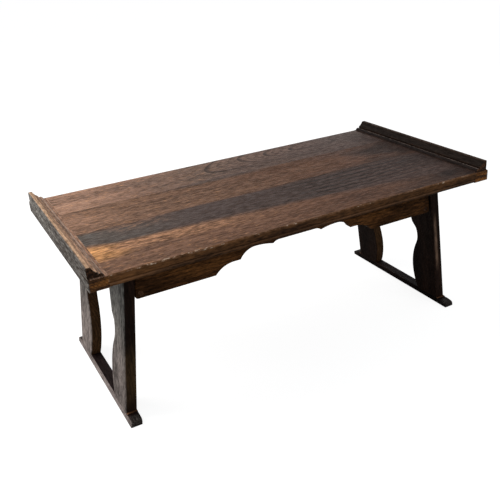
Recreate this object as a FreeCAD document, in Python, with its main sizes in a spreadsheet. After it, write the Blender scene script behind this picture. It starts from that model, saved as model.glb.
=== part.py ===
import FreeCAD, Part
import math
import os
import Sketcher
from FreeCAD import Placement, Rotation, Vector

# Low folding table with raised end lips, cusped aprons and two splayed leg frames.
# X runs along the length, Y from front to back, Z up. The origin is on the floor,
# at the centre of the table. Lengths are in millimetres and angles in degrees.

doc = FreeCAD.newDocument("folding_table")
sheet = doc.addObject("Spreadsheet::Sheet", "Sizes")
sheet_rows = []
nodes = []


class Dim:
    """A number together with the formula that gives it from the sheet."""

    def __init__(self, value, text):
        self.value = value
        self.text = text

    def _join(self, other, sign, number):
        return Dim(number, "(%s %s %s)" % (self.text, sign, dim(other).text))

    def __add__(self, other):
        return self._join(other, "+", self.value + dim(other).value)

    def __sub__(self, other):
        return self._join(other, "-", self.value - dim(other).value)

    def __mul__(self, other):
        return self._join(other, "*", self.value * dim(other).value)

    def __truediv__(self, other):
        return self._join(other, "/", self.value / dim(other).value)

    def __radd__(self, other):
        return dim(other) + self

    def __rsub__(self, other):
        return dim(other) - self

    def __rmul__(self, other):
        return dim(other) * self

    def __neg__(self):
        return Dim(-self.value, "(0 - %s)" % self.text)

    def root(self):
        return Dim(math.sqrt(self.value), "sqrt(%s)" % self.text)

    def sin(self):
        return Dim(math.sin(math.radians(self.value)), "sin(%s)" % self.text)

    def cos(self):
        return Dim(math.cos(math.radians(self.value)), "cos(%s)" % self.text)

    def tan(self):
        return Dim(math.tan(math.radians(self.value)), "tan(%s)" % self.text)


def dim(number):
    """Take a plain number as a Dim, and a Dim as it is."""
    if isinstance(number, Dim):
        return number
    return Dim(float(number), "(%s)" % repr(float(number)))


def size(name, value):
    """Write one named size into the sheet and hand it back."""
    row = len(sheet_rows) + 1
    sheet_rows.append(name)
    sheet.set("A%d" % row, name)
    sheet.set("B%d" % row, str(value))
    sheet.setAlias("B%d" % row, name)
    sheet.recompute()
    return Dim(float(sheet.get(name)), "Sizes." + name)


# Table top
top_length = size("top_length", 800)
top_width = size("top_width", 400)
top_height = size("top_height", 310)
plank_thick = size("plank_thick", 20)
back_joint = size("back_joint", 88)
middle_joint = size("middle_joint", -22)
front_joint = size("front_joint", -108)
edge_round = size("edge_round", 2.5)
edge_line_up = size("edge_line_up", 6.5)
edge_line_wide = size("edge_line_wide", 1.6)
edge_line_deep = size("edge_line_deep", 1.2)

# End pieces that hold the planks by a tongue and groove
end_width = size("end_width", 32)
end_drop = size("end_drop", 1.2)
end_round = size("end_round", 2)
tongue_length = size("tongue_length", 14)
tongue_thick = size("tongue_thick", 7)
tongue_stop = size("tongue_stop", 15)
tongue_gap = size("tongue_gap", 0.4)
end_peg_dia = size("end_peg_dia", 6)
end_peg_past = size("end_peg_past", 2.5)

# Raised lips on the end pieces
lip_inset = size("lip_inset", 1)
lip_width = size("lip_width", 26)
lip_height = size("lip_height", 18.5)
lip_end_inset = size("lip_end_inset", 2.5)
lip_end_round = size("lip_end_round", 2)
lip_ridge = size("lip_ridge", 7.5)
lip_ease = size("lip_ease", 1.2)
lip_sill = size("lip_sill", 7.6)
lip_quirk = size("lip_quirk", 3.4)
lip_bead = size("lip_bead", 9)
lip_bead_radius = size("lip_bead_radius", 5.3)
lip_cove_radius = size("lip_cove_radius", 20)

# Screws and pins of the top
lip_screw_in = size("lip_screw_in", 7)
lip_screw_bite = size("lip_screw_bite", 12)
lip_screw_pitch = size("lip_screw_pitch", 100)
plank_pin_dia = size("plank_pin_dia", 6)
plank_pin_length = size("plank_pin_length", 36)
plank_pin_pitch = size("plank_pin_pitch", 150)
screw_dia = size("screw_dia", 4)
screw_head_dia = size("screw_head_dia", 8)
screw_head_high = size("screw_head_high", 3.2)
screw_sink = size("screw_sink", 1.2)
screw_slot_wide = size("screw_slot_wide", 1)
screw_slot_deep = size("screw_slot_deep", 1.1)
glue_gap = size("glue_gap", 0.03)

# Leg frames
splay = size("splay", 7)
foot_inset = size("foot_inset", 36)
foot_half_length = size("foot_half_length", 164.5)
foot_height = size("foot_height", 12.5)
nose_flat = size("nose_flat", 5)
nose_step = size("nose_step", 1.6)
nose_fall = size("nose_fall", 0.8)
nose_crown = size("nose_crown", 70)
nose_round = size("nose_round", 5)
leg_thick = size("leg_thick", 20)
leg_outer_y = size("leg_outer_y", 137)
leg_width_top = size("leg_width_top", 79)
leg_top_gap = size("leg_top_gap", 0.4)
leg_ease = size("leg_ease", 1)
shoulder_share = size("shoulder_share", 0.7793)
ear_width = size("ear_width", 65)
ear_share = size("ear_share", 0.6138)
neck_width = size("neck_width", 51)
neck_share = size("neck_share", 0.5172)
neck_radius = size("neck_radius", 45)
neck_rise = size("neck_rise", 16)
belly_width = size("belly_width", 72.5)
belly_share = size("belly_share", 0.2276)
tenon_thick = size("tenon_thick", 8)
tenon_width = size("tenon_width", 40)
tenon_long = size("tenon_long", 7)
tenon_edge = size("tenon_edge", 10)
tenon_gap = size("tenon_gap", 0.3)
foot_screw_bite = size("foot_screw_bite", 22)

# Fold: pivot pins at the apron ends and the rails that turn on them
pivot_in = size("pivot_in", 9.5)
pivot_up = size("pivot_up", 8.5)
fold_gap = size("fold_gap", 2.1)
pin_dia = size("pin_dia", 9)
pin_run_gap = size("pin_run_gap", 0.06)
pin_sunk = size("pin_sunk", 0.6)
pin_seat = size("pin_seat", 22)
rail_deep = size("rail_deep", 24)
rail_high = size("rail_high", 26)
rail_ease = size("rail_ease", 2)
rail_end_gap = size("rail_end_gap", 0.5)
dowel_dia = size("dowel_dia", 8)
dowel_half = size("dowel_half", 11)
dowel_first = size("dowel_first", 70)
dowel_second = size("dowel_second", 86)
dowel_tip_gap = size("dowel_tip_gap", 0.5)

# Aprons
apron_set_back = size("apron_set_back", 4)
apron_thick = size("apron_thick", 16)
apron_deep = size("apron_deep", 70.4)
apron_corner = size("apron_corner", 5)
apron_ease = size("apron_ease", 0.8)
scoop_low_x = size("scoop_low_x", 167.5)
scoop_low_end = size("scoop_low_end", 131)
scoop_low_rise = size("scoop_low_rise", 16.8)
scoop_high_x = size("scoop_high_x", 118)
scoop_high_end = size("scoop_high_end", 87)
scoop_high_rise = size("scoop_high_rise", 17.8)
cusp_x = size("cusp_x", 51)
cusp_half = size("cusp_half", 12)
cusp_drop = size("cusp_drop", 4.8)
block_side = size("block_side", 16)
block_length = size("block_length", 60)
block_pitch = size("block_pitch", 205)

# Levels and places that follow from the sizes
half_length = top_length / 2
half_width = top_width / 2
underside = top_height - plank_thick
plank_middle = top_height - plank_thick / 2
shoulder_x = half_length - end_width
end_under = underside - end_drop
pivot_reach = pivot_in + fold_gap
foot_outer_x = half_length - foot_inset
apron_face = leg_outer_y - apron_set_back
apron_bottom = underside - apron_deep
scoop_low_high = apron_bottom + scoop_low_rise
scoop_high_high = scoop_low_high + scoop_high_rise
shoulder_high = underside * shoulder_share
ear_high = underside * ear_share
neck_high = underside * neck_share
neck_top = neck_high + neck_rise
belly_high = underside * belly_share
leg_across = leg_thick / splay.cos()
pivot_z = apron_bottom + pivot_up
pivot_x = foot_outer_x - leg_across - pivot_z * splay.tan() - pivot_reach / splay.cos()
rail_half = apron_face - apron_thick - rail_end_gap
leg_middle = pivot_reach + leg_thick / 2
screw_radius = screw_dia / 2
screw_head_radius = screw_head_dia / 2


def set_place(thing, base, turn=Rotation()):
    thing.Placement = Placement(base, turn)


def bind(thing, **sizes):
    """Tie properties of one object to formulas of the sheet."""
    for name, value in sizes.items():
        value = dim(value)
        setattr(thing, name, value.value)
        thing.setExpression(name, value.text)


def place_by(thing, x, y, z):
    """Tie where an attached feature sits to formulas of the sheet."""
    x, y, z = dim(x), dim(y), dim(z)
    thing.AttachmentOffset = Placement(Vector(x.value, y.value, z.value), Rotation())
    thing.setExpression("AttachmentOffset.Base.x", x.text)
    thing.setExpression("AttachmentOffset.Base.y", y.text)
    thing.setExpression("AttachmentOffset.Base.z", z.text)


def origin_plane(body, role):
    return [item for item in body.Origin.OriginFeatures if item.Role == role][0]


def new_body(name):
    body = doc.addObject("PartDesign::Body", name)
    body.Label = name
    nodes.append(body)
    return body


def arc_middle(start, end, radius):
    """Middle point of the short arc; a plus radius turns left on its way."""
    chord = end - start
    left = Vector(-chord.y, chord.x, 0).normalize()
    rise = math.sqrt(max(radius * radius - chord.Length * chord.Length / 4, 0))
    side = 1 if radius > 0 else -1
    return (start + end) / 2 + left * (side * rise - radius)


def outline(body, name, role, points, shift):
    """Closed sketch through points; a third item is the radius of the arc that leaves it."""
    sketch = body.newObject("Sketcher::SketchObject", name)
    sketch.AttachmentSupport = [(origin_plane(body, role), "")]
    sketch.MapMode = "FlatFace"
    place_by(sketch, 0, 0, shift)
    spots = [Vector(dim(item[0]).value, dim(item[1]).value, 0) for item in points]
    count = len(points)
    starts = []
    ends = []
    for index, item in enumerate(points):
        here = spots[index]
        there = spots[(index + 1) % count]
        if len(item) == 2:
            edge = sketch.addGeometry(Part.LineSegment(here, there), False)
            starts.append((edge, 1))
            ends.append((edge, 2))
            continue
        middle = arc_middle(here, there, item[2].value)
        edge = sketch.addGeometry(Part.Arc(here, middle, there), False)
        forward = sketch.getPoint(edge, 1).distanceToPoint(here) < 1e-6
        starts.append((edge, 1 if forward else 2))
        ends.append((edge, 2 if forward else 1))
    for index in range(count):
        join = ends[index] + starts[(index + 1) % count]
        sketch.addConstraint(Sketcher.Constraint("Coincident", *join))
    for index, item in enumerate(points):
        edge, end = starts[index]
        for kind, value in (("DistanceX", dim(item[0])), ("DistanceY", dim(item[1]))):
            rule = Sketcher.Constraint(kind, -1, 1, edge, end, value.value)
            number = sketch.addConstraint(rule)
            sketch.setExpression("Constraints[%d]" % number, value.text)
        if len(item) == 3:
            reach = item[2] if item[2].value > 0 else -item[2]
            number = sketch.addConstraint(Sketcher.Constraint("Radius", edge, reach.value))
            sketch.setExpression("Constraints[%d]" % number, reach.text)
    return sketch


def pad(body, name, sketch, length):
    feature = body.newObject("PartDesign::Pad", name)
    feature.Profile = sketch
    bind(feature, Length=length)
    sketch.Visibility = False
    return feature


def cut_through(body, name, sketch, length):
    """Pocket that runs the given length to both sides of its sketch together."""
    feature = body.newObject("PartDesign::Pocket", name)
    feature.Profile = sketch
    feature.Midplane = True
    bind(feature, Length=length)
    sketch.Visibility = False
    return feature


def primitive(body, kind, name, x, y, z, turn=None, **sizes):
    """Added or cut box, cylinder or cone at a bound place in its body."""
    feature = body.newObject("PartDesign::" + kind, name)
    feature.AttachmentSupport = [(origin_plane(body, "XY_Plane"), "")]
    feature.MapMode = "FlatFace"
    bind(feature, **sizes)
    place_by(feature, x, y, z)
    if turn is not None:
        feature.AttachmentOffset = Placement(feature.AttachmentOffset.Base, turn)
    return feature


def edges_where(shape, test):
    """Names of the straight or curved edges whose middle passes the test."""
    found = []
    for index, edge in enumerate(shape.Edges):
        middle = edge.valueAt((edge.FirstParameter + edge.LastParameter) / 2)
        ends = [vertex.Point for vertex in edge.Vertexes]
        if test(middle, ends):
            found.append("Edge%d" % (index + 1))
    return found


def soften(body, name, kind, amount, test):
    """Fillet or chamfer on the edges that pass the test."""
    doc.recompute()
    last = body.Tip
    feature = body.newObject("PartDesign::" + kind, name)
    feature.Base = (last, edges_where(last.Shape, test))
    bind(feature, **{"Radius" if kind == "Fillet" else "Size": amount})
    return feature


def along_x(ends, least):
    return abs(ends[0].x - ends[-1].x) > least.value


def along_y(ends, least):
    return abs(ends[0].y - ends[-1].y) > least.value


def near(number, size_value):
    return abs(number - dim(size_value).value) < 0.01


def loose(kind, name, base, turn=Rotation(), **sizes):
    """Free-standing primitive with bound sizes."""
    thing = doc.addObject("Part::" + kind, name)
    bind(thing, **sizes)
    set_place(thing, base, turn)
    return thing


def group(name, members):
    """One node made of separate like solids."""
    thing = doc.addObject("Part::Compound", name)
    thing.Label = name
    thing.Links = members
    nodes.append(thing)
    return thing


def spot(x, y, z):
    return Vector(dim(x).value, dim(y).value, dim(z).value)


HALF_TURN = Placement(Vector(), Rotation(Vector(0, 0, 1), 180))
ALONG_X = Rotation(Vector(0, 1, 0), 90)
ALONG_Y = Rotation(Vector(1, 0, 0), -90)
FRAME = Placement(spot(pivot_x, 0, pivot_z), Rotation(Vector(0, 1, 0), -splay.value))


def side_place(side, inner=Placement()):
    """Right-hand pieces stay; left-hand ones turn half round about the centre."""
    return inner if side == "right" else HALF_TURN.multiply(inner)


def turned(place, base, turn=Rotation()):
    return place.multiply(Placement(base, turn))


def screw(name, place, length):
    """Countersunk wood screw whose head starts at the place and whose shank runs up."""
    head = doc.addObject("Part::Cone", name + "_head")
    bind(head, Radius1=screw_head_radius, Radius2=screw_radius, Height=screw_head_high)
    head.Placement = place
    shank = doc.addObject("Part::Cylinder", name + "_shank")
    bind(shank, Radius=screw_radius, Height=length)
    shank.Placement = place
    whole = doc.addObject("Part::MultiFuse", name + "_body")
    whole.Shapes = [head, shank]
    slot = doc.addObject("Part::Box", name + "_slot")
    bind(slot, Length=screw_head_dia, Width=screw_slot_wide, Height=screw_slot_deep)
    slot.Placement = turned(place, spot(-screw_head_radius, -screw_slot_wide / 2, 0))
    slotted = doc.addObject("Part::Cut", name)
    slotted.Base = whole
    slotted.Tool = slot
    return slotted


def screw_hole(body, name, x, y, z, length, turn=None):
    """Clearance for one screw: countersink and shank hole."""
    primitive(body, "SubtractiveCylinder", name + "_shank", x, y, z, turn,
              Radius=screw_radius + glue_gap, Height=length)
    primitive(body, "SubtractiveCone", name + "_sink", x, y, z, turn,
              Radius1=screw_head_radius + glue_gap, Radius2=screw_radius + glue_gap,
              Height=screw_head_high)


def pitch_places(pitch, count):
    """Bound places of a row, centred on zero."""
    return [pitch * (index - (count - 1) / 2) for index in range(count)]


# Planks of the top
PLANKS = (
    ("back_plank", half_width, back_joint),
    ("rear_middle_plank", back_joint, middle_joint),
    ("front_middle_plank", middle_joint, front_joint),
    ("front_plank", front_joint, -half_width),
)
peg_x = shoulder_x + tongue_length / 2
LIP_SCREWS = pitch_places(lip_screw_pitch, 4)
PLANK_PINS = pitch_places(plank_pin_pitch, 5)


def build_plank(name, y_high, y_low):
    body = new_body(name)
    corners = [(-shoulder_x, y_low), (shoulder_x, y_low), (shoulder_x, y_high), (-shoulder_x, y_high)]
    pad(body, "Board", outline(body, "Face", "XY_Plane", corners, underside), plank_thick)
    outer_back = name == "back_plank"
    outer_front = name == "front_plank"
    tongue_high = y_high - tongue_stop if outer_back else y_high
    tongue_low = y_low + tongue_stop if outer_front else y_low
    tongue_base = plank_middle - tongue_thick / 2
    for side, start in (("Left", -shoulder_x - tongue_length), ("Right", shoulder_x)):
        primitive(body, "AdditiveBox", side + "Tongue", start, tongue_low, tongue_base,
                  Length=tongue_length, Width=tongue_high - tongue_low, Height=tongue_thick)
    peg_y = (tongue_high + tongue_low) / 2
    for side, sign in (("Left", -1), ("Right", 1)):
        primitive(body, "SubtractiveCylinder", side + "PegHole", sign * peg_x, peg_y, underside,
                  Radius=end_peg_dia / 2 + glue_gap, Height=plank_thick)
    joints = []
    if not outer_back:
        joints.append(y_high)
    if not outer_front:
        joints.append(y_low)
    for joint in joints:
        start = joint - plank_pin_length / 2 - glue_gap
        for x in PLANK_PINS:
            primitive(body, "SubtractiveCylinder", "PinHole", x, start, plank_middle, ALONG_Y,
                      Radius=plank_pin_dia / 2 + glue_gap, Height=plank_pin_length + 2 * glue_gap)
    if outer_back or outer_front:
        face = y_high if outer_back else y_low
        line_y = face - edge_line_deep if outer_back else face
        primitive(body, "SubtractiveBox", "EdgeLine", -shoulder_x, line_y, underside + edge_line_up,
                  Length=2 * shoulder_x, Width=edge_line_deep, Height=edge_line_wide)

        def outer_arris(middle, ends):
            level = near(middle.z, top_height) or near(middle.z, underside)
            return level and near(middle.y, face) and along_x(ends, shoulder_x)

        soften(body, "EdgeRound", "Fillet", edge_round, outer_arris)
    return peg_y


peg_places = [build_plank(*plank) for plank in PLANKS]
for name, joint in (("back_joint_pins", back_joint), ("middle_joint_pins", middle_joint),
                    ("front_joint_pins", front_joint)):
    start = joint - plank_pin_length / 2
    group(name, [loose("Cylinder", name + "_pin", spot(x, start, plank_middle), ALONG_Y,
                       Radius=plank_pin_dia / 2, Height=plank_pin_length) for x in PLANK_PINS])


# End pieces, their pegs, the lips and the lip screws
lip_outer = half_length - lip_inset
lip_screw_x = lip_outer - lip_screw_in
lip_screw_length = top_height - end_under - screw_sink + lip_screw_bite
peg_top = plank_middle + tongue_thick / 2 + end_peg_past
lip_top = top_height + lip_height
lip_end = half_width - lip_end_inset


def build_end(side):
    place = side_place(side)
    flip = 1 if side == "right" else -1
    body = new_body(side + "_end_piece")
    corners = [(shoulder_x, -half_width), (half_length, -half_width),
               (half_length, half_width), (shoulder_x, half_width)]
    pad(body, "Bar", outline(body, "Face", "XY_Plane", corners, end_under), top_height - end_under)
    primitive(body, "SubtractiveBox", "Groove", shoulder_x, tongue_stop - half_width,
              plank_middle - tongue_thick / 2, Length=tongue_length + tongue_gap,
              Width=top_width - 2 * tongue_stop, Height=tongue_thick)
    for y in LIP_SCREWS:
        screw_hole(body, "LipScrew", lip_screw_x, y, end_under + screw_sink, lip_screw_length)
        primitive(body, "SubtractiveCylinder", "HeadRecess", lip_screw_x, y, end_under,
                  Radius=screw_head_radius + glue_gap, Height=screw_sink)
    for y in peg_places:
        primitive(body, "SubtractiveCylinder", "PegHole", peg_x, flip * y, end_under,
                  Radius=end_peg_dia / 2 + glue_gap, Height=peg_top - end_under + glue_gap)

    def outer_arris(middle, ends):
        level = near(middle.z, top_height) or near(middle.z, end_under)
        outside = near(middle.x, half_length) and along_y(ends, half_width)
        return outside or level and near(abs(middle.y), half_width)

    soften(body, "OuterRound", "Fillet", end_round, outer_arris)
    body.Placement = place

    lip = new_body(side + "_lip")
    lip_inner = lip_outer - lip_width
    bead_x = lip_inner + lip_bead
    profile = [(lip_inner, top_height), (lip_outer, top_height), (lip_outer, lip_top),
               (lip_outer - lip_ridge, lip_top, -lip_cove_radius), (bead_x, top_height + lip_sill),
               (bead_x, top_height + lip_quirk, lip_bead_radius)]
    pad(lip, "Moulding", outline(lip, "Section", "XZ_Plane", profile, -lip_end), 2 * lip_end)
    for y in LIP_SCREWS:
        primitive(lip, "SubtractiveCylinder", "Pilot", lip_screw_x, y, top_height,
                  Radius=screw_radius + glue_gap, Height=lip_screw_bite + glue_gap)
    soften(lip, "CornerRound", "Fillet", lip_end_round,
           lambda middle, ends: near(middle.x, lip_outer) and near(abs(middle.y), lip_end))
    soften(lip, "RidgeEase", "Fillet", lip_ease, lambda middle, ends: near(middle.z, lip_top))
    lip.Placement = place

    pegs = [loose("Cylinder", side + "_end_peg", place.multVec(spot(peg_x, flip * y, end_under)),
                  Radius=end_peg_dia / 2, Height=peg_top - end_under) for y in peg_places]
    group(side + "_end_pegs", pegs)
    screws = [screw(side + "_lip_screw", turned(place, spot(lip_screw_x, y, end_under + screw_sink)),
                    lip_screw_length) for y in LIP_SCREWS]
    group(side + "_lip_screws", screws)


build_end("left")
build_end("right")


# Cusped aprons and the blocks that glue them to the top
def apron_end(level):
    """Apron end at a level: it stands parallel to the leg, one fold gap away."""
    return pivot_x + (pivot_in - (level - pivot_z) * splay.sin()) / splay.cos()


def scoop(run, rise):
    """Radius of the arc that starts level and reaches the given run and rise."""
    return (run * run + rise * rise) / (2 * rise)


def apron_profile():
    low = scoop(scoop_low_x - scoop_low_end, scoop_low_high - apron_bottom)
    high = scoop(scoop_high_x - scoop_high_end, scoop_high_high - scoop_low_high)
    brow = scoop(scoop_high_end - cusp_x, cusp_drop)
    tip = scoop(cusp_half, cusp_drop)
    half = [(apron_end(apron_bottom), apron_bottom), (scoop_low_x, apron_bottom, low),
            (scoop_low_end, scoop_low_high), (scoop_high_x, scoop_low_high, high),
            (scoop_high_end, scoop_high_high, brow), (cusp_x, scoop_high_high - cusp_drop, tip),
            (cusp_x - cusp_half, scoop_high_high)]
    far = [(-point[0], point[1]) for point in reversed(half)]
    bends = [tip, brow, high, None, low, None, None]
    far = [point if bend is None else point + (bend,) for point, bend in zip(far, bends)]
    top = [(-apron_end(underside), underside), (apron_end(underside), underside)]
    return half + far + top


def near_sawn_edge(ends):
    """True for an edge of the lower outline, between the apron's two end faces."""
    highest = max(point.z for point in ends)
    widest = max(abs(point.x) for point in ends)
    return highest < scoop_high_high.value + 1 and widest < apron_end(apron_bottom).value


def build_apron(name, front):
    body = new_body(name)
    near_face = apron_face if front else apron_thick - apron_face
    sketch = outline(body, "Profile", "XZ_Plane", apron_profile(), near_face - apron_thick)
    pad(body, "Board", sketch, apron_thick)
    start = -apron_face if front else apron_face - apron_thick
    for sign in (-1, 1):
        primitive(body, "SubtractiveCylinder", "PivotBore", sign * pivot_x, start, pivot_z, ALONG_Y,
                  Radius=pin_dia / 2 + pin_run_gap, Height=apron_thick)

    def low_corner(middle, ends):
        return near(abs(middle.x), apron_end(apron_bottom)) and near(middle.z, apron_bottom)

    soften(body, "CornerRound", "Fillet", apron_corner, low_corner)
    soften(body, "SawnEase", "Chamfer", apron_ease,
           lambda middle, ends: near(abs(middle.y), apron_face) and near_sawn_edge(ends))
    block_y = -apron_face + apron_thick if front else apron_face - apron_thick - block_side
    blocks = [loose("Box", name + "_block", spot(x - block_length / 2, block_y, underside - block_side),
                    Length=block_length, Width=block_side, Height=block_side)
              for x in pitch_places(block_pitch, 3)]
    group(name.replace("apron", "glue_blocks"), blocks)


build_apron("front_apron", True)
build_apron("back_apron", False)


# Leg frames, drawn with the pivot axis as origin and the leg faces square to x
def frame_z(level, x):
    """Height in the tilted frame of a level above the floor, at a distance x from the pivot."""
    return (level - pivot_z - x * splay.sin()) / splay.cos()


def leg_void(sign):
    """Outline of what is sawn from the inner edge: ear, neck and belly."""
    def at(width, level):
        return (sign * (leg_outer_y - width), frame_z(level, leg_middle))

    def bend(radius):
        return -sign * radius

    rise = neck_high - belly_high
    reach = belly_width - neck_width
    both = (reach * reach + rise * rise) / (2 * reach)
    belly_radius = both - neck_radius
    turn_width = neck_width + neck_radius - neck_radius * (both - reach) / both
    turn_high = neck_high - neck_radius * rise / both
    top_width_here = neck_width + neck_radius - (neck_radius * neck_radius
                                                 - (neck_top - neck_high) * (neck_top - neck_high)).root()
    past = foot_height
    low = foot_height - past
    low_width = belly_width - belly_radius + (belly_radius * belly_radius
                                              - (belly_high - low) * (belly_high - low)).root()
    return [at(leg_width_top, shoulder_high), at(ear_width, ear_high),
            at(top_width_here, neck_top) + (bend(neck_radius),),
            at(turn_width, turn_high) + (bend(-belly_radius),),
            at(low_width, low), at(leg_width_top + past, low), at(leg_width_top + past, shoulder_high)]


def build_leg(side, end):
    sign = -1 if (end == "front") == (side == "right") else 1
    body = new_body("%s_%s_leg" % (side, end))
    inner = pivot_reach
    outer = pivot_reach + leg_thick
    leg_top = underside - leg_top_gap
    section = [(inner, frame_z(foot_height, inner)), (outer, frame_z(foot_height, outer)),
               (outer, frame_z(leg_top, outer)), (inner, frame_z(leg_top, inner))]
    near_side = -leg_outer_y if sign < 0 else leg_outer_y - leg_width_top
    sketch = outline(body, "Section", "XZ_Plane", section, -near_side - leg_width_top)
    pad(body, "Blank", sketch, leg_width_top)
    void = outline(body, "InnerEdge", "YZ_Plane", leg_void(sign), leg_middle)
    cut_through(body, "SawnEdge", void, 3 * leg_thick)

    def long_arris(middle, ends):
        on_face = near(middle.x, inner) or near(middle.x, outer)
        return on_face and abs(ends[0].z - ends[-1].z) > leg_ease.value

    soften(body, "LegEase", "Chamfer", leg_ease, long_arris)
    tenon_near = leg_outer_y - tenon_edge
    tenon_y = -tenon_near if sign < 0 else tenon_near - tenon_width
    tenon_low = frame_z(foot_height, leg_middle) - tenon_long
    primitive(body, "AdditiveBox", "Tenon", leg_middle - tenon_thick / 2, tenon_y, tenon_low,
              Length=tenon_thick, Width=tenon_width, Height=2 * tenon_long)
    for y in (dowel_first, dowel_second):
        primitive(body, "SubtractiveCylinder", "DowelHole", inner, sign * y, 0, ALONG_X,
                  Radius=dowel_dia / 2 + glue_gap, Height=dowel_half + dowel_tip_gap)
    screw_y = sign * (tenon_near - tenon_width / 2)
    hole_low = frame_z(0, leg_middle)
    hole_high = frame_z(foot_height, leg_middle) + foot_screw_bite + glue_gap
    primitive(body, "SubtractiveCylinder", "Pilot", leg_middle, screw_y, hole_low,
              Radius=screw_radius + glue_gap, Height=hole_high - hole_low)
    body.Placement = side_place(side, FRAME)
    screw_low = frame_z(screw_sink, leg_middle) + screw_head_radius * splay.tan()
    length = frame_z(foot_height, leg_middle) + foot_screw_bite - screw_low
    foot_screw = screw("%s_%s_foot_screw" % (side, end),
                       turned(side_place(side, FRAME), spot(leg_middle, screw_y, screw_low)), length)
    return foot_screw


def build_foot(side):
    body = new_body(side + "_foot")
    lean = foot_height * splay.tan()
    section = [(foot_outer_x - leg_across, 0), (foot_outer_x, 0),
               (foot_outer_x - lean, foot_height), (foot_outer_x - leg_across - lean, foot_height)]
    sketch = outline(body, "Section", "XZ_Plane", section, -foot_half_length)
    pad(body, "Runner", sketch, 2 * foot_half_length)
    flat = leg_outer_y + nose_flat
    crest = foot_height - nose_step
    brow = crest - nose_fall
    tip = brow - nose_round
    above = 2 * foot_height
    past = foot_half_length + foot_height
    for sign in (-1, 1):
        nose = [(sign * flat, above), (sign * flat, crest, -sign * nose_crown),
                (sign * (foot_half_length - nose_round), brow, -sign * nose_round),
                (sign * foot_half_length, tip), (sign * past, tip), (sign * past, above)]
        cut_through(body, "Nose", outline(body, "NoseLine", "YZ_Plane", nose, foot_outer_x), 6 * leg_thick)
    tilt = FRAME.Rotation
    tenon_near = leg_outer_y - tenon_edge
    mortise_low = frame_z(foot_height, leg_middle) - tenon_long - tenon_gap
    for sign in (-1, 1):
        near_y = -tenon_near if sign < 0 else tenon_near - tenon_width
        x_in = leg_middle - tenon_thick / 2 - glue_gap
        base_x = pivot_x + x_in * splay.cos() - mortise_low * splay.sin()
        base_z = pivot_z + x_in * splay.sin() + mortise_low * splay.cos()
        primitive(body, "SubtractiveBox", "Mortise", base_x, near_y - glue_gap, base_z, tilt,
                  Length=tenon_thick + 2 * glue_gap, Width=tenon_width + 2 * glue_gap,
                  Height=3 * tenon_long)
        screw_y = sign * (tenon_near - tenon_width / 2)
        low = frame_z(screw_sink, leg_middle) + screw_head_radius * splay.tan()
        hole_x = pivot_x + leg_middle * splay.cos() - low * splay.sin()
        hole_z = pivot_z + leg_middle * splay.sin() + low * splay.cos()
        screw_hole(body, "FootScrew", hole_x, screw_y, hole_z, foot_height, tilt)
        deep = frame_z(0, leg_middle) - foot_height
        recess_x = pivot_x + leg_middle * splay.cos() - deep * splay.sin()
        recess_z = pivot_z + leg_middle * splay.sin() + deep * splay.cos()
        primitive(body, "SubtractiveCylinder", "HeadRecess", recess_x, screw_y, recess_z, tilt,
                  Radius=screw_head_radius + glue_gap, Height=low - deep)
    body.Placement = side_place(side)


def build_rail(side):
    body = new_body(side + "_pivot_rail")
    inner = pivot_reach - rail_deep
    section = [(inner, -rail_high / 2), (pivot_reach, -rail_high / 2),
               (pivot_reach, rail_high / 2), (inner, rail_high / 2)]
    pad(body, "Bar", outline(body, "Section", "XZ_Plane", section, -rail_half), 2 * rail_half)
    dowel_start = pivot_reach - dowel_half - dowel_tip_gap
    for start in (-rail_half, rail_half - pin_seat):
        primitive(body, "SubtractiveCylinder", "PinSeat", 0, start, 0, ALONG_Y,
                  Radius=pin_dia / 2 + glue_gap, Height=pin_seat)
    for sign in (-1, 1):
        for y in (dowel_first, dowel_second):
            primitive(body, "SubtractiveCylinder", "DowelHole", dowel_start, sign * y, 0, ALONG_X,
                      Radius=dowel_dia / 2 + glue_gap, Height=dowel_half + dowel_tip_gap)
    soften(body, "RailEase", "Chamfer", rail_ease,
           lambda middle, ends: along_y(ends, rail_half) and near(middle.x, inner))
    place = side_place(side, FRAME)
    body.Placement = place
    dowels = [loose("Cylinder", side + "_rail_dowel",
                    place.multVec(spot(pivot_reach - dowel_half, sign * y, 0)),
                    place.Rotation.multiply(ALONG_X), Radius=dowel_dia / 2, Height=2 * dowel_half)
              for sign in (-1, 1) for y in (dowel_first, dowel_second)]
    group(side + "_rail_dowels", dowels)
    for end in ("front", "back"):
        sign = -1 if (end == "front") == (side == "right") else 1
        start = pin_sunk - apron_face if sign < 0 else rail_half - pin_seat
        pin = loose("Cylinder", "%s_%s_pivot_pin" % (side, end), place.multVec(spot(0, start, 0)),
                    place.Rotation.multiply(ALONG_Y), Radius=pin_dia / 2,
                    Height=apron_face - pin_sunk - rail_half + pin_seat)
        pin.Label = "%s_%s_pivot_pin" % (side, end)
        nodes.append(pin)


for side in ("left", "right"):
    foot_screws = [build_leg(side, end) for end in ("front", "back")]
    build_foot(side)
    build_rail(side)
    group(side + "_foot_screws", foot_screws)


# Check every object, then write one file for each node
doc.recompute()
for item in doc.Objects:
    if "Invalid" in item.State or "Error" in item.State:
        raise RuntimeError("%s did not build: %s" % (item.Label, item.State))
os.makedirs("parts", exist_ok=True)
for node in nodes:
    shape = node.Shape
    if shape.isNull() or not shape.isValid():
        raise RuntimeError("%s has no valid shape" % node.Label)
    print(node.Label, len(shape.Solids), round(shape.Volume, 1))
    shape.exportStep("parts/%s.step" % node.Label)
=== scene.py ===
import math

import bmesh
import bpy
from mathutils import Matrix, Vector


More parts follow.
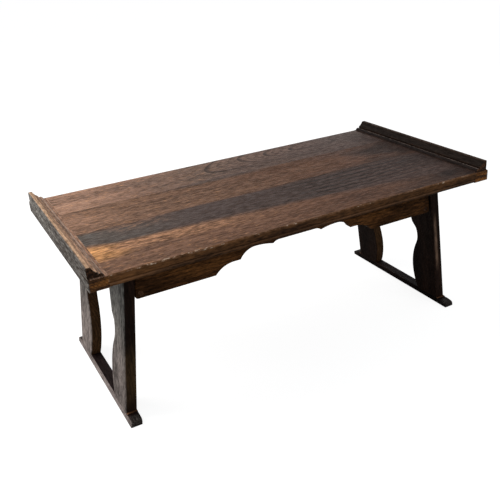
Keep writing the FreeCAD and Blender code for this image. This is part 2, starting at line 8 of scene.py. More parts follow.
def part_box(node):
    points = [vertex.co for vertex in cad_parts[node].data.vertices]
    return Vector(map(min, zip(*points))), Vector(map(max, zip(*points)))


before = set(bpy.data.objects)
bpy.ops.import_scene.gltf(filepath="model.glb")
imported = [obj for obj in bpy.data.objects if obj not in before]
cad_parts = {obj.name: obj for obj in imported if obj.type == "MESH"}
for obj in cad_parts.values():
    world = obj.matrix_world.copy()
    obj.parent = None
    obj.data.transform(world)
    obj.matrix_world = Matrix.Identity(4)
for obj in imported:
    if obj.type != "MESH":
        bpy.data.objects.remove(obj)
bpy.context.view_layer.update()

# Colours of the scorched and brushed wood, as linear light
SOOT = (0.0045, 0.0026, 0.0020)
CHAR = (0.013, 0.0072, 0.0052)
UMBER = (0.036, 0.018, 0.0105)
EMBER = (0.085, 0.038, 0.018)
RUSSET = (0.145, 0.066, 0.031)
TEA = (0.30, 0.165, 0.098)
HONEY = (0.76, 0.370, 0.135)
# Grey of the outer faces of the ends and lips: weather-worn wood, partly a painted sheen
ASH_AND_SHEEN_GREY = (0.245, 0.236, 0.222)
BARE = (0.58, 0.46, 0.35)
SPARK = (0.62, 0.31, 0.14)
WARM_BAND = (0.46, 0.235, 0.125)
SMOKE = (0.070, 0.053, 0.048)
BACK_SHEEN_GREY = (0.150, 0.115, 0.102)
EDGE_BROWN = (0.120, 0.052, 0.018)
GOLDEN_END = (0.23, 0.092, 0.024)
# Grey of the legs' outer faces, weather-worn and partly a painted sheen; paler at the bottom
LEG_GREY_LOW = (0.285, 0.240, 0.225)
LEG_GREY_HIGH = (0.195, 0.190, 0.178)
LEG_DARK = (0.022, 0.0105, 0.0068)
LEG_RUBBED = (0.165, 0.102, 0.068)
LEG_BROWN = (0.085, 0.050, 0.020)
SAWN_BROWN = (0.088, 0.042, 0.016)
FOOT_DARK = (0.0115, 0.0060, 0.0058)
DUST_DARK = (0.150, 0.126, 0.122)
DUST_PALE = (0.290, 0.245, 0.235)
NOSE_DUST = (0.060, 0.053, 0.048)
APRON_DARK = (0.014, 0.0058, 0.0024)
APRON_BROWN = (0.106, 0.043, 0.0135)
APRON_SMOKED = (0.016, 0.0068, 0.0030)
APRON_GOLD = (0.138, 0.056, 0.0155)
# Golden colour painted as light on the apron, under the top's shadow
APRON_LIT_GOLD = (0.300, 0.128, 0.034)
STEEL = (0.33, 0.31, 0.28)
RUST = (0.11, 0.075, 0.05)

# Tones of the two ends: the top of the end piece, then ridge, slope, bead and bead crest of the lip. The lips
# are lit and shaded copies of one wood: the left lip's pale tones are partly painted light, the right lip's
# near-black ridge, cove and bead are painted shade, and its pale bead crest is a painted highlight.
LEFT_END_TOP = (0.32, 0.182, 0.122)
LEFT_LIP_PAINTED_LIGHT = [(0.44, 0.280, 0.180), (0.52, 0.310, 0.200), (0.36, 0.245, 0.190), TEA]
RIGHT_END_TOP = (0.026, 0.014, 0.0105)
RIGHT_LIP_PAINTED_LIGHT = [(0.040, 0.022, 0.014), (0.013, 0.0082, 0.0062), (0.012, 0.008, 0.007), (0.170, 0.130, 0.112)]

# Mean colour of each plank from its left end to its right end
BACK_TONES = [(0.02, (0.340, 0.195, 0.132)), (0.25, (0.190, 0.108, 0.075)), (0.42, (0.135, 0.084, 0.062)),
              (0.62, (0.115, 0.071, 0.056)), (0.80, (0.088, 0.057, 0.048)), (0.97, (0.028, 0.016, 0.013))]
REAR_TONES = [(0.02, (0.280, 0.155, 0.100)), (0.25, (0.172, 0.091, 0.055)), (0.50, (0.142, 0.070, 0.040)),
              (0.66, (0.100, 0.043, 0.021)), (0.80, (0.108, 0.051, 0.031)), (0.97, (0.026, 0.013, 0.009))]
FRONT_TONES = [(0.02, (0.165, 0.087, 0.055)), (0.30, (0.145, 0.074, 0.045)), (0.55, (0.108, 0.051, 0.029)),
               (0.72, (0.080, 0.036, 0.020)), (0.85, (0.054, 0.025, 0.015)), (0.97, (0.016, 0.008, 0.006))]
HEART_TONES = [(0.03, (0.075, 0.066, 0.059)), (0.30, (0.053, 0.038, 0.035)), (0.55, (0.042, 0.027, 0.0235)),
               (0.86, (0.059, 0.035, 0.029)), (0.97, (0.030, 0.018, 0.015))]

# Places on the object that the finishes follow, in metres
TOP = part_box("back_plank")[1][2]
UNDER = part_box("back_plank")[0][2]
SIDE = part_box("back_plank")[1][1]
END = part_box("right_end_piece")[1][0]
LIP_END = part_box("right_lip")[1][1]
JOINT_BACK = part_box("back_plank")[0][1]
JOINT_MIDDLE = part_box("rear_middle_plank")[0][1]
FOOT_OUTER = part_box("right_foot")[1][0]
FOOT_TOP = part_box("right_foot")[1][2]
LEG_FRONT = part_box("right_back_leg")[1][1]
SPLAY = math.tan(math.radians(7))


class Wire:
    """A socket of a finish that can stand in Python sums."""

    def __init__(self, finish, socket):
        self.finish = finish
        self.socket = socket

    def math(self, operation, *others):
        sockets = dict(enumerate((self,) + others))
        return self.finish.node("Math", {"operation": operation}, sockets)

    def __add__(self, other):
        return self.math("ADD", other)

    def __radd__(self, other):
        return self.math("ADD", other)

    def __sub__(self, other):
        return self.math("SUBTRACT", other)

    def __rsub__(self, other):
        return self.finish.node("Math", {"operation": "SUBTRACT"}, {0: other, 1: self})

    def __mul__(self, other):
        return self.math("MULTIPLY", other)

    def __rmul__(self, other):
        return self.math("MULTIPLY", other)

    def __truediv__(self, other):
        return self.math("DIVIDE", other)

    def __abs__(self):
        return self.math("ABSOLUTE")


class Finish:
    """A material built up from nodes round one Principled shader."""

    def __init__(self, name, **plain):
        self.material = bpy.data.materials.new(name)
        self.material.use_nodes = True
        self.tree = self.material.node_tree
        self.skin = self.tree.nodes["Principled BSDF"]
        for socket, value in plain.items():
            self.skin.inputs[socket.replace("_", " ")].default_value = value

    def node(self, kind, settings, sockets, out=0):
        """Any node: its type, its settings, then the values or links of its sockets."""
        made = self.tree.nodes.new("ShaderNode" + kind)
        for name, value in settings.items():
            if name == "stops":
                self.set_stops(made.color_ramp, value)
            else:
                setattr(made, name, value)
        for name, value in sockets.items():
            self.feed(made.inputs[name], value)
        return Wire(self, made.outputs[out])

    def set_stops(self, ramp, stops):
        while len(ramp.elements) < len(stops):
            ramp.elements.new(1.0)
        for element, (place, colour) in zip(ramp.elements, stops):
            element.position = place
            element.color = colour + (1.0,)

    def feed(self, socket, value):
        if isinstance(value, Wire):
            self.tree.links.new(value.socket, socket)
        elif socket.type == "RGBA":
            socket.default_value = tuple(value) + (1.0,)
        else:
            socket.default_value = value

    def put(self, name, value):
        self.feed(self.skin.inputs[name], value)

    def axes(self):
        """Object coordinates as three wires, in metres."""
        place = self.node("TexCoord", {}, {}, "Object")
        parts = self.node("SeparateXYZ", {}, {0: place})
        outs = parts.socket.node.outputs
        return [Wire(self, outs[index]) for index in range(3)]

    def vector(self, x, y, z):
        return self.node("CombineXYZ", {}, {0: x, 1: y, 2: z})

    def noise(self, place, stretch, seed, detail=2.0, rough=0.5):
        """Noise with its own scale along, across and through the grain."""
        shift = (seed * 7.31, seed * 3.17, seed * 5.63)
        turned = self.node("Mapping", {}, {"Vector": place, "Location": shift, "Scale": stretch})
        return self.node("TexNoise", {"noise_dimensions": "3D"},
                         {"Vector": turned, "Scale": 1.0, "Detail": detail, "Roughness": rough}, "Fac")

    def smooth(self, value, low, high):
        """Soft step from 0 at low to 1 at high."""
        return self.node("MapRange", {"interpolation_type": "SMOOTHSTEP"},
                         {"Value": value, "From Min": low, "From Max": high})

    def band(self, value, low, high, soft):
        """1 between low and high, and 0 beyond, with soft ends."""
        begun = self.smooth(value, low - soft, low + soft)
        return begun * (1.0 - self.smooth(value, high - soft, high + soft))

    def mix(self, share, first, second):
        """Colour mix: the first colour at share 0, the second at 1."""
        return self.node("Mix", {"data_type": "RGBA"}, {0: share, 6: first, 7: second}, 2)

    def shade(self, share, colour):
        """Colour times a grey factor."""
        return self.node("Mix", {"data_type": "RGBA", "blend_type": "MULTIPLY"},
                         {0: 1.0, 6: colour, 7: self.vector(share, share, share)}, 2)

    def ramp(self, value, stops):
        return self.node("ValToRGB", {"stops": stops}, {0: value})

    def edges(self, reach):
        """Grows to 1 on the arrises of the piece."""
        round_normal = self.node("Bevel", {"samples": 4}, {"Radius": reach})
        flat = self.node("NewGeometry", {}, {}, "Normal")
        turn = self.node("VectorMath", {"operation": "DOT_PRODUCT"}, {0: round_normal, 1: flat}, "Value")
        return self.smooth(1.0 - turn, 0.015, 0.20)


class Grain:
    """Layers of brushed grain in one piece, each running from 0 to 1."""

    def __init__(self, finish, along, across, through, seed):
        self.finish = finish
        self.seed = seed
        self.place = finish.vector(along, across, through)
        self.streak = self.layer((2.6, 34.0, 34.0), 0.0, 4.0, 0.30, 0.70)
        self.cloud = self.layer((6.0, 15.0, 15.0), 2.1, 3.0, 0.25, 0.75)
        self.fleck = self.layer((62.0, 230.0, 230.0), 8.0, 3.0, 0.34, 0.66)
        self.dash = self.layer((105.0, 720.0, 720.0), 5.0, 2.0, 0.36, 0.64)
        self.pore = self.layer((42.0, 950.0, 950.0), 6.0, 1.0, 0.55, 0.70)

    def layer(self, stretch, shift, detail, low, high):
        rough = self.finish.noise(self.place, stretch, self.seed + shift, detail, 0.6)
        return self.finish.smooth(rough, low, high)

    def contrast(self, depth):
        """Light and dark of the flecks round 1; depth sets how far they swing."""
        swing = 0.42 * self.streak + 0.58 * self.fleck + 0.58 * self.dash - 0.79
        return (1.0 + swing * depth).math("MAXIMUM", 0.06)

    def relief(self, lines, strength):
        height = self.fleck * 0.35 + self.dash * 0.40 - self.pore * 0.55 - lines * 0.30
        bump = self.finish.node("Bump", {}, {"Height": height, "Distance": 0.0006, "Strength": strength})
        self.finish.put("Normal", bump)

    def roughness(self, least):
        self.finish.put("Roughness", least + self.pore * 0.18 + (1.0 - self.fleck) * 0.16)


def growth_rings(finish, along, across, wander, heart, depth, taper, spacing, sharp):
    """Dark late-wood lines where the board cuts the cones of yearly growth."""
    side = across - heart + (wander - 0.5) * spacing * 0.7
    deep = depth - along * taper
    radius = (side * side + deep * deep).math("SQRT")
    year = (radius / spacing).math("FRACT")
    return finish.smooth(year, 1.0 - sharp, 0.94) * (1.0 - finish.smooth(year, 0.965, 1.0))


def flame_figure(finish, x, y, grain):
    """Nested flames with tips to the left, right of the back plank's middle; the outermost is drawn out."""
    wander = finish.noise(grain.place, (14.0, 40.0, 40.0), grain.seed + 4.4, 3.0)
    outer = 1.0 - finish.smooth(x, -0.080, 0.040)
    middle = y + outer * 0.026
    drawn = x + outer * 0.030
    bold = growth_rings(finish, drawn, middle, wander, 0.166, 0.073, 0.324, 0.0205, 0.24)
    fine = growth_rings(finish, drawn, middle, wander, 0.166, 0.073, 0.324, 0.0068, 0.55)
    window = finish.smooth(x, -0.12, -0.04) * (1.0 - finish.smooth(x, 0.20, 0.34))
    return bold.math("MAXIMUM", fine * 0.46) * (0.12 + window * 0.58)


def wavy_figure(finish, x, y, grain):
    """Fine wavy lines, clearest on the right half."""
    wander = finish.noise(grain.place, (9.0, 16.0, 16.0), grain.seed + 4.4, 3.0)
    lines = growth_rings(finish, x, y, wander * 2.2, 0.330, 0.060, 0.10, 0.0160, 0.46)
    window = finish.smooth(x, -0.02, 0.10) * (1.0 - finish.smooth(x, 0.29, 0.37))
    return lines * (0.08 + window * finish.smooth(y, -0.150, -0.105) * 0.92)


def plain_figure(finish, x, y, grain):
    """Straight, quiet growth lines."""
    wander = finish.noise(grain.place, (5.0, 14.0, 14.0), grain.seed + 4.4, 2.0)
    return growth_rings(finish, x, y, wander * 1.6, -0.330, 0.030, 0.04, 0.0064, 0.60) * 0.30


def heart_limit(finish, x):
    """Front boundary of the charred heartwood, which drifts to the front on its way to the right."""
    start = finish.smooth(x, -0.372, -0.305) * 0.012
    middle = finish.smooth(x, -0.305, -0.180) * 0.010
    later = finish.smooth(x, -0.100, 0.040) * 0.008
    return -0.083 - start - middle - later - x.math("MAXIMUM", 0.0) * 0.135


def charred_heart(finish, x, y, tone, grain):
    """Charcoal stripe, mottled near the joint, with a golden patch and warmer wood before its left end."""
    near = y - heart_limit(finish, x) - (grain.cloud - 0.5) * 0.010
    left = 1.0 - finish.smooth(x, -0.24, -0.04)
    warm = finish.band(near, -0.036, 0.004, 0.010) * left
    tone = finish.mix(warm * (0.28 + grain.fleck * 0.50), tone, WARM_BAND)
    far_left = 1.0 - finish.smooth(x + grain.streak * 0.04, -0.350, -0.290)
    patch = far_left * finish.band(y, -0.146, -0.090, 0.012)
    tone = finish.mix(patch * (0.55 + grain.streak * 0.42), tone, HONEY)
    feather = 0.004 + (1.0 - finish.smooth(x, -0.30, -0.18)) * 0.010
    ragged = (y - JOINT_MIDDLE + 0.006 - grain.streak * 0.007) / feather
    inside = finish.smooth(near, -0.010, 0.010) * (1.0 - finish.smooth(ragged, -1.0, 1.0))
    heart = finish.ramp((x + END) / (2 * END) + (grain.cloud - 0.5) * 0.12, HEART_TONES)
    beside_joint = finish.smooth(y, JOINT_MIDDLE - 0.046, JOINT_MIDDLE - 0.018)
    mottle = finish.smooth(grain.fleck * 0.6 + grain.cloud * 0.4, 0.30, 0.62) * beside_joint
    heart = finish.mix(mottle * finish.band(x, -0.320, -0.215, 0.030) * 0.60, heart, tone)
    return finish.mix(inside * (0.80 + grain.streak * 0.10 + grain.fleck * 0.10), tone, heart)


def smoky_seam(finish, x, y, tone, grain):
    """Smoky streak beside the back joint, on the left half, and a paler back edge with a painted grey sheen
    towards its right end.
    """
    seam = 1.0 - finish.smooth(abs(y - JOINT_BACK) + grain.streak * 0.006, 0.004, 0.020)
    run = finish.smooth(x, -0.22, -0.10) * (1.0 - finish.smooth(x, -0.02, 0.12))
    tone = finish.mix(seam * run * 0.62, tone, SMOKE)
    pale = finish.smooth(y, 0.100, 0.190)
    tone = finish.shade(0.90 + pale * 0.30, tone)
    # Painted sheen: grey towards the right end of the back edge
    return finish.mix(pale * finish.smooth(x, 0.16, 0.34) * 0.40, tone, BACK_SHEEN_GREY)


def board_edge(finish, x, y, z, tone, grain):
    """Long outer edge of the board: blotched brown, darker to the right, with painted shade along its bottom
    and, on the left, a chipped arris with a painted highlight along it.
    """
    chip = finish.noise(grain.place, (110.0, 260.0, 260.0), grain.seed + 11.0, 3.0, 0.7)
    face = finish.smooth(abs(y), SIDE - 0.0026, SIDE - 0.0012)
    blotch = finish.mix(grain.streak * 0.6 + grain.cloud * 0.4, CHAR, EDGE_BROWN)
    blotch = finish.shade(grain.contrast(1.1) * (1.0 - finish.smooth(x, 0.0, 0.2) * 0.32), blotch)
    strip = finish.band(z, UNDER + 0.0035, UNDER + 0.0062, 0.0008)
    blotch = finish.mix(strip * grain.streak * 0.25, blotch, TEA)
    # Painted shade: darker along the bottom of the edge face, above the apron
    low = 1.0 - finish.smooth(z, UNDER + 0.0010, UNDER + 0.0042)
    blotch = finish.mix(low * (0.15 + finish.smooth(x, -0.05, 0.10) * 0.30), blotch, SOOT)
    tone = finish.mix(face, tone, blotch)
    # Painted highlight: a thin pale line along the top arris, strongest on the left, where chips of bare wood
    # also show
    arris = finish.smooth(z + abs(y), TOP + SIDE - 0.0034, TOP + SIDE - 0.0018)
    rub_and_highlight = finish.band(x, -0.330, -0.190, 0.030)
    tone = finish.mix(arris * finish.smooth(chip, 0.40, 0.62) * (0.35 + rub_and_highlight * 0.35), tone, TEA)
    return finish.mix(arris * finish.smooth(chip + rub_and_highlight * 0.066, 0.635, 0.70) * 0.80, tone, BARE)


def plank_wood(name, seed, tones, figure, mark=None):
    """Brushed plank of the top: warm at its left end, darker and greyer to the right."""
    finish = Finish(name, Specular_IOR_Level=0.060)
    x, y, z = finish.axes()
    grain = Grain(finish, x, y, z, seed)
    place = (x + END) / (2 * END) + (grain.cloud - 0.5) * 0.22
    tone = finish.ramp(place, tones)
    spark = grain.layer((70.0, 260.0, 260.0), 15.0, 2.0, 0.58, 0.68) * (1.0 - finish.smooth(x, -0.30, 0.14))
    tone = finish.mix(spark * 0.40, tone, SPARK)
    if mark is not None:
        tone = mark(finish, x, y, tone, grain)
    lines = figure(finish, x, y, grain)
    swing = 1.06 - finish.smooth(x, -0.10, 0.36) * 0.08
    tone = finish.shade(grain.contrast(swing), tone)
    tone = finish.mix(lines, tone, SOOT)
    tone = finish.mix(grain.pore * 0.40, tone, CHAR)
    tone = board_edge(finish, x, y, z, tone, grain)
    finish.put("Base Color", tone)
    grain.roughness(0.44)
    grain.relief(lines, 0.45)
    return finish.material


def charred_wood(name, axes, seed, ground, light, wear, shine=0.040, wear_share=0.5, swing=1.2, zones=None):
    """Scorched and brushed wood; axes give along, across and through the grain."""
    finish = Finish(name, Specular_IOR_Level=shine)
    place = finish.axes()
    along, across, through = [place["XYZ".index(letter)] for letter in axes]
    grain = Grain(finish, along, across, through, seed)
    wander = finish.noise(grain.place, (4.0, 14.0, 14.0), seed + 4.4, 2.0)
    lines = growth_rings(finish, along, across + through, wander * 1.8, 0.21, 0.05, 0.03, 0.0058, 0.6)
    tone = finish.mix(grain.streak * 0.5 + grain.cloud * 0.5, ground, light)
    if zones is not None:
        tone = zones(finish, place, tone, grain)
    tone = finish.shade(grain.contrast(swing), tone)
    tone = finish.mix(lines * 0.40, tone, SOOT)
    tone = finish.mix(grain.pore * 0.45, tone, SOOT)
    worn = finish.edges(0.0022) * finish.smooth(grain.fleck * 0.6 + grain.streak * 0.4, 0.42, 0.70)
    tone = finish.mix(worn * wear_share, tone, wear)
    finish.put("Base Color", tone)
    grain.roughness(0.50)
    grain.relief(lines, 0.55)
    return finish.material


def end_piece_zones(top_tone, outside):
    """Zones of an end piece: plank colour on top, weather-worn grey outer face that is partly a painted
    sheen, golden end grain.
    """
    def zones(finish, place, tone, grain):
        x, y, z = place
        layers = finish.noise(finish.vector(x, y, z), (22.0, 1.0, 190.0), grain.seed + 9.0, 3.0)
        golden = finish.mix(finish.smooth(layers, 0.28, 0.62), UMBER, GOLDEN_END)
        tone = finish.mix(finish.smooth(abs(y), SIDE - 0.0024, SIDE - 0.0010), tone, golden)
        # Outer face: weather-worn grey, partly a painted sheen
        weathered_and_sheen = finish.mix(grain.fleck * 0.35 + grain.streak * 0.65, UMBER, outside)
        tone = finish.mix(finish.smooth(abs(x), END - 0.0024, END - 0.0010), tone, weathered_and_sheen)
        inner = 1.0 - finish.smooth(abs(x), END - 0.0060, END - 0.0040)
        return finish.mix(finish.smooth(z, TOP - 0.0014, TOP - 0.0004) * inner, tone, top_tone)
    return zones


def lip_zones(outside, ridge, slope, bead, crest):
    """Zones of a lip, from its outer face over the ridge and the cove down to the bead, with a painted shadow
    line in the quirk above the bead and a bead-crest line that is a painted highlight on the right lip.
    """
    def zones(finish, place, tone, grain):
        x, y, z = place
        inset = END - abs(x)
        # Outer face in the grey given as outside, partly a painted sheen
        tone = finish.mix(grain.fleck * 0.35 + grain.streak * 0.65, UMBER, outside)
        tone = finish.mix(finish.smooth(inset, 0.0014, 0.0034), tone, ridge)
        tone = finish.mix(finish.smooth(inset, 0.0078, 0.0096), tone, slope)
        tone = finish.mix(finish.smooth(inset, 0.0182, 0.0188), tone, bead)
        # Painted shadow: a dark line in the quirk between the cove and the bead
        tone = finish.mix(finish.band(inset, 0.0177, 0.0183, 0.0002), tone, CHAR)
        # Bead-crest line in the given crest tone; on the right lip it is a painted highlight
        rub_and_highlight = finish.band(inset, 0.0205, 0.0225, 0.0006) * finish.smooth(grain.dash, 0.15, 0.75)
        tone = finish.mix(rub_and_highlight, tone, crest)
        end_grain = finish.mix(grain.fleck * 0.5 + grain.cloud * 0.3, CHAR, EMBER)
        return finish.mix(finish.smooth(abs(y), LIP_END - 0.0016, LIP_END - 0.0006), tone, end_grain)
    return zones


def leg_zones(finish, place, tone, grain):
    """Grey outer face of a leg, weather-worn and partly a painted sheen, paler towards the bottom; brown sawn
    edge, and narrow faces with a worn streak on the right, brown on the left.
    """
    x, y, z = place
    skin = FOOT_OUTER - z * SPLAY - abs(x)
    grey = finish.mix(finish.smooth(z, 0.06, 0.22), LEG_GREY_LOW, LEG_GREY_HIGH)
    # Outer face grey, partly a painted sheen
    weathered_and_sheen = finish.shade(0.22 + grain.cloud * 0.40 + grain.streak * 0.46 + grain.fleck * 0.36, grey)
    tone = finish.mix(1.0 - finish.smooth(skin, 0.0010, 0.0020), tone, weathered_and_sheen)
    narrow = finish.smooth(abs(y), LEG_FRONT - 0.0014, LEG_FRONT - 0.0006)
    right = finish.smooth(x, -0.1, 0.1)
    streak = finish.band(skin, 0.0090, 0.0155, 0.0025) * finish.band(z, 0.095, 0.200, 0.025) * narrow
    tone = finish.mix(streak * right * (0.35 + grain.cloud * 0.65), tone, LEG_RUBBED)
    low = finish.band(z, 0.030, 0.130, 0.035) * narrow * (1.0 - right)
    tone = finish.mix(low * grain.cloud * 0.8, tone, LEG_BROWN)
    facing = finish.node("SeparateXYZ", {}, {0: finish.node("NewGeometry", {}, {}, "Normal")}, "Y")
    sawn = finish.smooth(abs(facing), 0.60, 0.85) * (1.0 - narrow)
    return finish.mix(sawn * (0.25 + grain.cloud * 0.60), tone, SAWN_BROWN)


def foot_zones(finish, place, tone, grain):
    """Dusty outer side, a painted highlight on the flat beside the leg and a dusty nose."""
    x, y, z = place
    skin = FOOT_OUTER - z * SPLAY - abs(x)
    dusty = finish.mix(grain.streak, DUST_DARK, DUST_PALE)
    tone = finish.mix(1.0 - finish.smooth(skin, 0.0008, 0.0018), tone, dusty)
    # Painted highlight: a pale band on the flat top of the foot just in front of the leg
    flat = finish.band(abs(y), LEG_FRONT + 0.0006, LEG_FRONT + 0.0044, 0.0006)
    flat = flat * finish.smooth(z, FOOT_TOP - 0.0012, FOOT_TOP - 0.0004)
    tone = finish.mix(flat * 0.85, tone, RUSSET)
    nose = finish.smooth(abs(y), LEG_FRONT + 0.008, LEG_FRONT + 0.016)
    return finish.mix(nose * grain.dash * 0.7, tone, NOSE_DUST)


def apron_zones(finish, place, tone, grain):
    """Smoked patches and golden patches along an apron, and painted light close under the top, where the top
    casts its shadow: a lit golden patch on the left half and a lightening all along.
    """
    x, y, z = place
    wide = finish.noise(finish.vector(x, y, z), (9.0, 9.0, 26.0), grain.seed + 21.0, 2.0)
    tone = finish.mix(finish.smooth(wide, 0.56, 0.40) * 0.60, tone, APRON_SMOKED)
    tone = finish.mix(finish.smooth(wide, 0.52, 0.66) * 0.55, tone, APRON_GOLD)
    # Painted light: lighter and golden close under the top, against the top's shadow
    painted_light_under_top = finish.smooth(z, UNDER - 0.040, UNDER - 0.008)
    patch = finish.band(x, -0.175, -0.080, 0.025) * painted_light_under_top * (0.4 + grain.streak * 0.6)
    tone = finish.mix(patch, tone, APRON_LIT_GOLD)
    return finish.shade(1.0 + painted_light_under_top * 0.8, tone)


def screw_steel(name):
    finish = Finish(name, Metallic=1.0)
    x, y, z = finish.axes()
    place = finish.vector(x, y, z)
    stain = finish.noise(place, (420.0, 420.0, 420.0), 3.0, 3.0)
    fine = finish.noise(place, (2600.0, 2600.0, 300.0), 5.0, 2.0)
    rust = finish.smooth(stain, 0.45, 0.70)
    finish.put("Base Color", finish.mix(rust, STEEL, RUST))
    finish.put("Roughness", 0.34 + stain * 0.28)
    finish.put("Normal", finish.node("Bump", {}, {"Height": fine, "Distance": 0.0001, "Strength": 0.3}))
    return finish.material


def dress(material, *names):
    """Give CAD nodes a finish in all their material slots."""
    for name in names:
        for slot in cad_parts[name].material_slots:
            slot.material = material


def both(name):
    """The left and the right piece of a pair."""
    return ["left_" + name, "right_" + name]


def corners(name):
    """The four pieces of a kind, one at each corner."""
    return [side + "_" + end + "_" + name for side in ("left", "right") for end in ("front", "back")]


# Planks of the top; the two front planks share one finish, as their joint hardly shows
back_wood = plank_wood("back_plank_wood", 1.0, BACK_TONES, flame_figure, smoky_seam)
rear_wood = plank_wood("rear_plank_wood", 2.0, REAR_TONES, plain_figure, smoky_seam)
front_wood = plank_wood("front_plank_wood", 3.0, FRONT_TONES, wavy_figure, charred_heart)
dress(back_wood, "back_plank")
dress(rear_wood, "rear_middle_plank")
dress(front_wood, "front_middle_plank", "front_plank")

# Ends and lips; the lips share one wood, painted light on the left and painted shade on the right
dress(charred_wood("left_end_wood", "YXZ", 5.0, CHAR, UMBER, BARE, wear_share=0.55, swing=0.9,
                   zones=end_piece_zones(LEFT_END_TOP, ASH_AND_SHEEN_GREY)), "left_end_piece")
dress(charred_wood("right_end_wood", "YXZ", 6.0, CHAR, UMBER, TEA, wear_share=0.45, swing=0.9,
                   zones=end_piece_zones(RIGHT_END_TOP, ASH_AND_SHEEN_GREY)), "right_end_piece")
dress(charred_wood("left_lip_wood", "YXZ", 7.0, CHAR, UMBER, BARE, wear_share=0.45, swing=0.9,
                   zones=lip_zones(ASH_AND_SHEEN_GREY, *LEFT_LIP_PAINTED_LIGHT)), "left_lip")
dress(charred_wood("right_lip_wood", "YXZ", 8.0, CHAR, UMBER, EMBER, wear_share=0.5, swing=0.9,
                   zones=lip_zones(ASH_AND_SHEEN_GREY, *RIGHT_LIP_PAINTED_LIGHT)), "right_lip")

# Under-frame
dress(charred_wood("apron_wood", "XZY", 9.0, APRON_DARK, APRON_BROWN, RUSSET, shine=0.026, wear_share=0.40,
                   swing=1.35, zones=apron_zones), "front_apron", "back_apron")
dress(charred_wood("leg_wood", "ZYX", 10.0, SOOT, LEG_DARK, EMBER, shine=0.034, wear_share=0.35,
                   swing=0.75, zones=leg_zones), *corners("leg"))
dress(charred_wood("foot_wood", "YXZ", 11.0, SOOT, FOOT_DARK, EMBER, zones=foot_zones), *both("foot"))
dress(charred_wood("rail_wood", "YXZ", 12.0, CHAR, UMBER, EMBER), *both("pivot_rail"))
dress(charred_wood("block_wood", "XYZ", 13.0, UMBER, EMBER, TEA), "front_glue_blocks", "back_glue_blocks")
dress(charred_wood("pin_wood", "YXZ", 14.0, UMBER, EMBER, TEA), *corners("pivot_pin"))
dress(charred_wood("peg_wood", "ZYX", 15.0, UMBER, EMBER, TEA), *both("end_pegs"), *both("rail_dowels"),
      "back_joint_pins", "middle_joint_pins", "front_joint_pins")
dress(screw_steel("screw_steel"), *both("lip_screws"), *both("foot_screws"))


# Floor, backdrop and light
def pale_floor():
    """Pale floor that the camera sees as white with a faint shadow."""
    finish = Finish("floor_white", Roughness=0.9)
    x, y, z = finish.axes()
    cloud = finish.noise(finish.vector(x, y, z), (3.0, 3.0, 3.0), 1.0)
    finish.put("Base Color", finish.mix(cloud, (0.50, 0.50, 0.50), (0.52, 0.52, 0.52)))
    lit = Wire(finish, finish.skin.outputs[0])
    glow = finish.node("Emission", {}, {"Color": (1.0, 1.0, 1.0), "Strength": 0.88})
    faint = finish.node("BsdfDiffuse", {}, {"Color": (0.30, 0.30, 0.30)})
    white = finish.node("AddShader", {}, {0: glow, 1: faint})
    path = finish.node("LightPath", {}, {}, "Is Camera Ray")
    clear_ray = Wire(finish, path.socket.node.outputs["Is Transmission Ray"])
    seen = finish.node("MixShader", {}, {0: path.math("MAXIMUM", clear_ray), 1: lit, 2: white})
    back = finish.node("NewGeometry", {}, {}, "Backfacing")
    clear = finish.node("BsdfTransparent", {}, {})
    ends = finish.node("MixShader", {}, {0: back, 1: seen, 2: clear})
    finish.feed(finish.tree.nodes["Material Output"].inputs["Surface"], ends)
    return finish.material


def floor_plane():
    sheet = bmesh.new()
    bmesh.ops.create_grid(sheet, x_segments=2, y_segments=2, size=30.0)
    mesh = bpy.data.meshes.new("floor")
    sheet.to_mesh(mesh)
    sheet.free()
    floor = bpy.data.objects.new("floor", mesh)
    floor.data.materials.append(pale_floor())
    bpy.context.scene.collection.objects.link(floor)


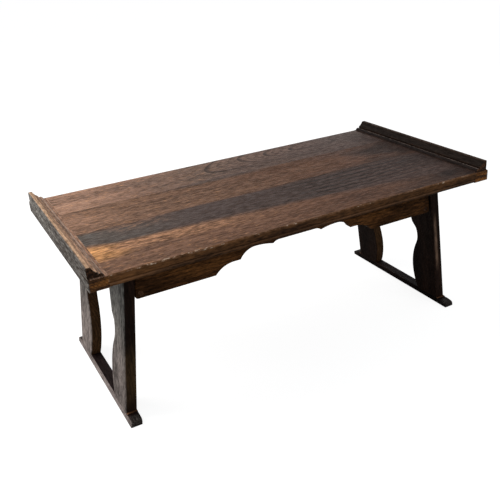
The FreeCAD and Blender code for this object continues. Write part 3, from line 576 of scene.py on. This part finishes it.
def studio_world():
    """Even soft light from all round, seen as white."""
    world = bpy.data.worlds.new("studio")
    world.use_nodes = True
    bpy.context.scene.world = world
    tree = world.node_tree
    soft = tree.nodes["Background"]
    soft.inputs["Color"].default_value = (0.96, 0.98, 1.0, 1.0)
    soft.inputs["Strength"].default_value = 0.42
    white = tree.nodes.new("ShaderNodeBackground")
    white.inputs["Color"].default_value = (1.0, 1.0, 1.0, 1.0)
    white.inputs["Strength"].default_value = 1.0
    path = tree.nodes.new("ShaderNodeLightPath")
    first = tree.nodes.new("ShaderNodeMath")
    first.operation = "MAXIMUM"
    second = tree.nodes.new("ShaderNodeMath")
    second.operation = "MAXIMUM"
    choose = tree.nodes.new("ShaderNodeMixShader")
    tree.links.new(path.outputs["Is Camera Ray"], first.inputs[0])
    tree.links.new(path.outputs["Is Glossy Ray"], first.inputs[1])
    tree.links.new(first.outputs[0], second.inputs[0])
    tree.links.new(path.outputs["Is Transmission Ray"], second.inputs[1])
    tree.links.new(second.outputs[0], choose.inputs[0])
    tree.links.new(soft.outputs[0], choose.inputs[1])
    tree.links.new(white.outputs[0], choose.inputs[2])
    tree.links.new(choose.outputs[0], tree.nodes["World Output"].inputs["Surface"])


def softbox(name, place, target, width, power, tint):
    lamp = bpy.data.lights.new(name, "AREA")
    lamp.shape = "SQUARE"
    lamp.size = width
    lamp.energy = power
    lamp.color = tint
    holder = bpy.data.objects.new(name, lamp)
    aim = Vector(target) - Vector(place)
    holder.matrix_world = Matrix.Translation(place) @ aim.to_track_quat("-Z", "Y").to_matrix().to_4x4()
    bpy.context.scene.collection.objects.link(holder)


def photo_camera():
    """Camera at the photograph's place, in the table's frame."""
    azimuth, elevation, roll = math.radians(-28.368), math.radians(24.004), math.radians(-3.328)
    away = math.cos(elevation)
    back = Vector((math.sin(azimuth) * away, -math.cos(azimuth) * away, math.sin(elevation)))
    level = (-back).cross(Vector((0, 0, 1))).normalized()
    rise = level.cross(-back)
    right = math.cos(roll) * level + math.sin(roll) * rise
    up = math.cos(roll) * rise - math.sin(roll) * level
    aside, above, distance = 0.00112, 0.18733, 1.45133
    place = right * aside + up * above + back * distance
    camera = bpy.data.objects.new("photo_camera", bpy.data.cameras.new("photo_camera"))
    turn = Matrix((right, up, back)).transposed()
    camera.matrix_world = Matrix.Translation(place) @ turn.to_4x4()
    camera.data.sensor_width = 36.0
    camera.data.lens = 49.102
    camera.data.shift_x = -0.0392
    camera.data.shift_y = -0.0314
    bpy.context.scene.collection.objects.link(camera)
    bpy.context.scene.camera = camera


floor_plane()
studio_world()
softbox("key_softbox", place=(-1.3, 0.9, 1.7), target=(-0.1, 0.0, 0.25), width=1.4, power=36.0,
        tint=(1.0, 0.96, 0.90))
softbox("fill_softbox", place=(0.9, -1.6, 1.3), target=(0.0, 0.0, 0.2), width=1.2, power=8.0,
        tint=(0.96, 0.98, 1.0))
photo_camera()
bpy.context.scene.view_settings.view_transform = "Standard"
